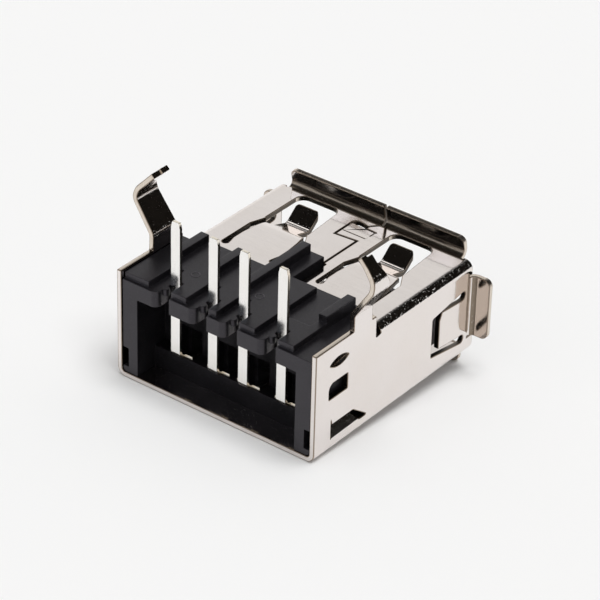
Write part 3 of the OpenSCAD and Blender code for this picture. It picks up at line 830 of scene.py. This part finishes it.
def trim_windows(work, finish, plate, mouth):
    """Moves one side of each finger window in, more toward the mouth, on the plate alone."""
    near, far = (mouth + reach for reach in finish.window_span)
    for vertex in work.verts:
        in_plate = plate - SHEET_SLACK * finish.sheet < vertex.co.z < plate + NEAR
        if not in_plate or not near < vertex.co.y < far:
            continue
        for middle in (-finish.window_middle, finish.window_middle):
            side = middle - vertex.co.x
            if finish.window_half - WINDOW_BAND < side < finish.window_half + MARGIN:
                vertex.co.x += finish.window_trim * (1 - (vertex.co.y - near) / (far - near) / 2)


def mark_round_edges(work, width):
    """Gives each outside corner edge a rounding weight that fits the faces beside it."""
    layer = work.edges.layers.float.new("bevel_weight_edge")
    for edge in work.edges:
        if len(edge.link_faces) != 2 or edge.calc_face_angle(0.0) < CORNER_ANGLE:
            continue
        line = (edge.verts[1].co - edge.verts[0].co).normalized()
        room = 1.0
        for face in edge.link_faces:
            reach = max((corner.co - edge.verts[0].co).cross(line).length for corner in face.verts)
            room = min(room, reach / (CORNER_ROOM * width))
        edge[layer] = room


def settle_normals(mesh):
    """Keeps wide faces flat and lets folds and rounded edges turn smoothly between them."""
    mesh.shade_smooth()
    around = [[] for _ in mesh.vertices]
    for face in mesh.polygons:
        for vertex in face.vertices:
            around[vertex].append(face.index)
    faces = [(face.normal.copy(), face.area, face.material_index == ROUNDED) for face in mesh.polygons]
    fold_limit = math.cos(FOLD_ANGLE)
    round_limit = math.cos(ROUND_ANGLE)
    normals = []
    for face in mesh.polygons:
        own, _, own_round = faces[face.index]
        for vertex in face.vertices:
            total = Vector((0.0, 0.0, 0.0))
            for other in around[vertex]:
                normal, area, is_round = faces[other]
                if normal.dot(own) > (round_limit if own_round or is_round else fold_limit):
                    total += normal * area
            normals.append(total.normalized() if total.length else own)
    mesh.normals_split_custom_set(normals)


def finished_piece(work, node, name, width, material):
    """A prepared copy of a CAD node with rounded edges and its finish, which stands for the node."""
    mark_round_edges(work, width)
    mesh = bpy.data.meshes.new(name + "_raw")
    work.to_mesh(mesh)
    work.free()
    for _ in range(ROUNDED + 1):
        mesh.materials.append(material)
    piece = placed(name, mesh)
    bevel = piece.modifiers.new("round", "BEVEL")
    bevel.limit_method = "WEIGHT"
    bevel.width = width
    bevel.segments = ROUND_STEPS
    bevel.use_clamp_overlap = False
    bevel.miter_outer = "MITER_ARC"
    bevel.loop_slide = True
    bevel.material = ROUNDED
    plain = make_plain(piece)
    settle_normals(plain)
    # The rim mask marks the rounded faces, which the shell's plating darkens as painted shade.
    rim = plain.attributes.new("rim", "FLOAT", "FACE")
    for face in plain.polygons:
        rim.data[face.index].value = 1.0 if face.material_index == ROUNDED else 0.0
        face.material_index = 0
    plain.materials.pop(index=ROUNDED)
    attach(piece, "root")
    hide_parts(node)


# Operators for the pieces


class SOCKET_OT_shell(bpy.types.Operator):
    """Makes the folded shell with its plating and sheared edges"""

    bl_idname = "socket.shell"
    bl_label = "Shell"

    def execute(self, context):
        finish = context.scene.socket_shell
        low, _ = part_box("shell")
        plate = low.z + finish.lip_reach + finish.height
        walls_end = low.y + finish.sheet + finish.lip_bend
        work = merged("shell")
        lean_lip(work, finish, plate, walls_end)
        reshape_fingers(work, finish, plate, 1, low.y)
        reshape_fingers(work, finish, plate - finish.height, -1, low.y)
        trim_windows(work, finish, plate, low.y)
        work.normal_update()
        mark_cut_faces(work, finish.sheet)
        mark_bends(work, finish.sheet / 2)
        mark_lips(work, walls_end, finish.lip_width / 2)
        material = nickel_plate(finish)
        finished_piece(work, "shell", "folded_shell", finish.edge_round, material)
        return {"FINISHED"}


class SOCKET_OT_housing(bpy.types.Operator):
    """Makes the moulded housing with its rounded edges"""

    bl_idname = "socket.housing"
    bl_label = "Housing"

    def execute(self, context):
        finish = context.scene.socket_housing
        work = cut_room(merged("housing"), Vector(finish.floor_low), Vector(finish.floor_high))
        mark_recess(work, finish)
        material = moulded_plastic("charcoal_moulded_plastic", finish.plastic, finish)
        finished_piece(work, "housing", "moulded_housing", finish.edge_round, material)
        return {"FINISHED"}


class SOCKET_OT_marks(bpy.types.Operator):
    """Makes the ejector marks on the comb"""

    bl_idname = "socket.marks"
    bl_label = "Ejector marks"

    def execute(self, context):
        finish = context.scene.socket_marks
        material = moulded_plastic("worn_plastic", finish.worn, context.scene.socket_housing)
        points = bpy.data.meshes.new("mark_points")
        points.from_pydata([tuple(finish.first), tuple(finish.second)], [], [])
        piece = placed("ejector_marks", points)
        tree, sockets = ring_tree()
        rings = piece.modifiers.new("rings", "NODES")
        rings.node_group = tree
        rings[sockets["Radius"]] = finish.radius
        rings[sockets["Rim"]] = finish.rim
        rings[sockets["Sides"]] = finish.sides
        rings[sockets["Material"]] = material
        plain = make_plain(piece)
        work = bmesh.new()
        work.from_mesh(plain)
        bmesh.ops.recalc_face_normals(work, faces=work.faces)
        work.to_mesh(plain)
        work.free()
        plain.shade_smooth()
        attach(piece, "root")
        return {"FINISHED"}


class SOCKET_OT_contacts(bpy.types.Operator):
    """Makes the four stamped contacts with their tails"""

    bl_idname = "socket.contacts"
    bl_label = "Contacts"

    def execute(self, context):
        finish = context.scene.socket_contacts
        material = tin_plate(finish)
        for node in CONTACTS:
            work = merged(node)
            mark_cut_faces(work, finish.sheet)
            name = node.replace("contact", "tinned_strip")
            finished_piece(work, node, name, finish.edge_round, material)
        return {"FINISHED"}


# Stage


def heading(turn, rise):
    """Direction by its turn from the mouth side toward -X and its rise above the floor, in degrees."""
    turn, rise = math.radians(turn), math.radians(rise)
    return Vector((-math.sin(turn) * math.cos(rise), -math.cos(turn) * math.cos(rise), math.sin(rise)))


def curved_card(name, turns, rises, material):
    """A curved card around the part, seen only in reflections."""
    start, end = turns
    mesh = bpy.data.meshes.new(name)
    points = []
    for step in range(CARD_STEPS + 1):
        turn = start + (end - start) * step / CARD_STEPS
        points += [tuple(heading(turn, rise) * CARD_DISTANCE) for rise in rises]
    faces = [(2 * k, 2 * k + 1, 2 * k + 3, 2 * k + 2) for k in range(CARD_STEPS)]
    mesh.from_pydata(points, [], faces)
    mesh.materials.append(material)
    item = placed(name, mesh)
    item.visible_camera = False
    item.visible_diffuse = False
    item.visible_transmission = False
    item.visible_shadow = False
    item.visible_volume_scatter = False


def flag_black():
    """Matt black for the cards that darken reflections."""
    material, tree, shader, place = blank_material("flag_black")
    tone = blend(tree, grain(tree, place, CARD_GRAIN), *FLAG_TONES)
    wire(tree, tone, shader.inputs["Base Color"])
    shader.inputs["Roughness"].default_value = 0.9
    shader.inputs["Specular IOR Level"].default_value = 0.0
    return material


def card_white(name, strength, tint):
    """Glowing white for the cards that brighten reflections."""
    material, tree, shader, place = blank_material(name)
    darker = [CARD_SHADE * value for value in tint]
    tone = blend(tree, grain(tree, place, CARD_GRAIN), tint, darker)
    wire(tree, tone, shader.inputs["Emission Color"])
    shader.inputs["Emission Strength"].default_value = strength
    shader.inputs["Base Color"].default_value = (0.0, 0.0, 0.0, 1.0)
    shader.inputs["Specular IOR Level"].default_value = 0.0
    return material


def floor_white(studio):
    """Pale matt floor."""
    material, tree, shader, place = blank_material("pale_floor")
    darker = [FLOOR_SHADE * value for value in studio.floor]
    tone = blend(tree, grain(tree, place, FLOOR_GRAIN), studio.floor, darker)
    wire(tree, tone, shader.inputs["Base Color"])
    shader.inputs["Roughness"].default_value = 1.0
    shader.inputs["Specular IOR Level"].default_value = 0.0
    return material


def tent(studio):
    """Even light, with a backdrop that is white to the camera and has a dark ceiling in reflections."""
    world = bpy.data.worlds.new("light_tent")
    world.use_nodes = True
    tree = world.node_tree
    tree.nodes.clear()
    out = tree.nodes.new("ShaderNodeOutputWorld")
    back = add(tree, "ShaderNodeBackground", Color=(*DAYLIGHT, 1.0))
    path = tree.nodes.new("ShaderNodeLightPath")
    seen = maths(tree, "MAXIMUM", path.outputs["Is Camera Ray"], path.outputs["Is Transmission Ray"])
    plain = ramp(tree, seen, span=(0.0, 1.0), values=(studio.dome, studio.backdrop))
    split = tree.nodes.new("ShaderNodeSeparateXYZ")
    wire(tree, tree.nodes.new("ShaderNodeTexCoord").outputs["Generated"], split.inputs[0])
    ceiling = tree.nodes.new("ShaderNodeValToRGB")
    stops = ceiling.color_ramp.elements
    for rise, level in CEILING:
        stop = stops.new(math.sin(math.radians(rise)))
        stop.color = (level, level, level, 1.0)
    stops[0].color = (1.0, 1.0, 1.0, 1.0)
    stops[-1].position = math.sin(math.radians(CEILING_END))
    stops[-1].color = (*CEILING_DARK, 1.0)
    wire(tree, split.outputs["Z"], ceiling.inputs["Fac"])
    mirrored = maths(tree, "MULTIPLY", ceiling.outputs["Color"], studio.backdrop)
    choice = tree.nodes.new("ShaderNodeMix")
    wire(tree, path.outputs["Is Glossy Ray"], choice.inputs[0])
    wire(tree, plain, choice.inputs[2])
    wire(tree, mirrored, choice.inputs[3])
    wire(tree, choice.outputs[0], back.inputs["Strength"])
    wire(tree, back.outputs["Background"], out.inputs["Surface"])
    return world


def lay_floor(shell, studio):
    """Floor on which the table-side lip and the rear edge of the shell rest."""
    low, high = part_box("shell")
    front = low.y + shell.sheet
    slope = shell.lip_reach / (high.y - front)
    mesh = bpy.data.meshes.new("floor")
    sides = ((-1, -1), (1, -1), (1, 1), (-1, 1))
    places = [(x * FLOOR_REACH, y * FLOOR_REACH) for x, y in sides]
    mesh.from_pydata([(x, y, slope * (y - front) - FLOOR_GAP) for x, y in places], [], [(0, 1, 2, 3)])
    mesh.materials.append(floor_white(studio))
    placed("floor", mesh)


class SOCKET_OT_stage(bpy.types.Operator):
    """Makes the floor, the light and the camera"""

    bl_idname = "socket.stage"
    bl_label = "Stage"

    def execute(self, context):
        scene = context.scene
        studio = scene.socket_studio
        scene.view_settings.view_transform = "Standard"
        lay_floor(scene.socket_shell, studio)
        black = flag_black()
        for name, turns, rises in FLAGS:
            curved_card(name, turns, rises, black)
        for name, turns, rises, finish, strength, tint in CARDS:
            curved_card(name, turns, rises, card_white(finish, strength, tint))
        scene.world = tent(studio)
        lamp = bpy.data.lights.new("overhead_key", "SUN")
        lamp.energy = studio.key
        lamp.angle = studio.key_spread
        key = placed("overhead_key", lamp)
        key.matrix_world = heading(*studio.key_heading).to_track_quat("Z", "Y").to_matrix().to_4x4()
        key.visible_glossy = False
        eye = Vector(studio.eye)
        camera = bpy.data.cameras.new("camera")
        camera.sensor_width = SENSOR
        camera.lens = studio.lens
        camera.shift_x, camera.shift_y = studio.shift
        camera.clip_start, camera.clip_end = VIEW_RANGE
        viewer = placed("camera", camera)
        turn = (eye - Vector(studio.aim)).to_track_quat("Z", "Y").to_matrix().to_4x4()
        viewer.matrix_world = Matrix.Translation(eye) @ turn @ Matrix.Rotation(studio.roll, 4, "Z")
        scene.camera = viewer
        return {"FINISHED"}


# Panel and registration


class SOCKET_PT_parts(bpy.types.Panel):
    """Lists the steps that finish the socket"""

    bl_idname = "SOCKET_PT_parts"
    bl_label = "Board socket"
    bl_space_type = "VIEW_3D"
    bl_region_type = "UI"
    bl_category = "Socket"

    def draw(self, context):
        scene = context.scene
        for step, group in (
            ("socket.shell", scene.socket_shell),
            ("socket.housing", scene.socket_housing),
            ("socket.marks", scene.socket_marks),
            ("socket.contacts", scene.socket_contacts),
            ("socket.stage", scene.socket_studio),
        ):
            area = self.layout.box()
            area.operator(step)
            for key in group.__annotations__:
                area.prop(group, key)


CLASSES = (
    ShellFinish, HousingFinish, MarkFinish, ContactFinish, StudioSetup,
    SOCKET_OT_shell, SOCKET_OT_housing, SOCKET_OT_marks, SOCKET_OT_contacts, SOCKET_OT_stage,
    SOCKET_PT_parts,
)


def register():
    """Registers the classes and hangs the sizes on the scene."""
    for item in CLASSES:
        bpy.utils.register_class(item)
    bpy.types.Scene.socket_shell = PointerProperty(type=ShellFinish)
    bpy.types.Scene.socket_housing = PointerProperty(type=HousingFinish)
    bpy.types.Scene.socket_marks = PointerProperty(type=MarkFinish)
    bpy.types.Scene.socket_contacts = PointerProperty(type=ContactFinish)
    bpy.types.Scene.socket_studio = PointerProperty(type=StudioSetup)


def unregister():
    """Takes the classes and sizes away again."""
    for key in ("socket_shell", "socket_housing", "socket_marks", "socket_contacts", "socket_studio"):
        delattr(bpy.types.Scene, key)
    for item in reversed(CLASSES):
        bpy.utils.unregister_class(item)


def main():
    """Makes the pieces in order."""
    register()
    bpy.ops.socket.shell()
    bpy.ops.socket.housing()
    bpy.ops.socket.marks()
    bpy.ops.socket.contacts()
    bpy.ops.socket.stage()


if __name__ == "__main__":
    main()
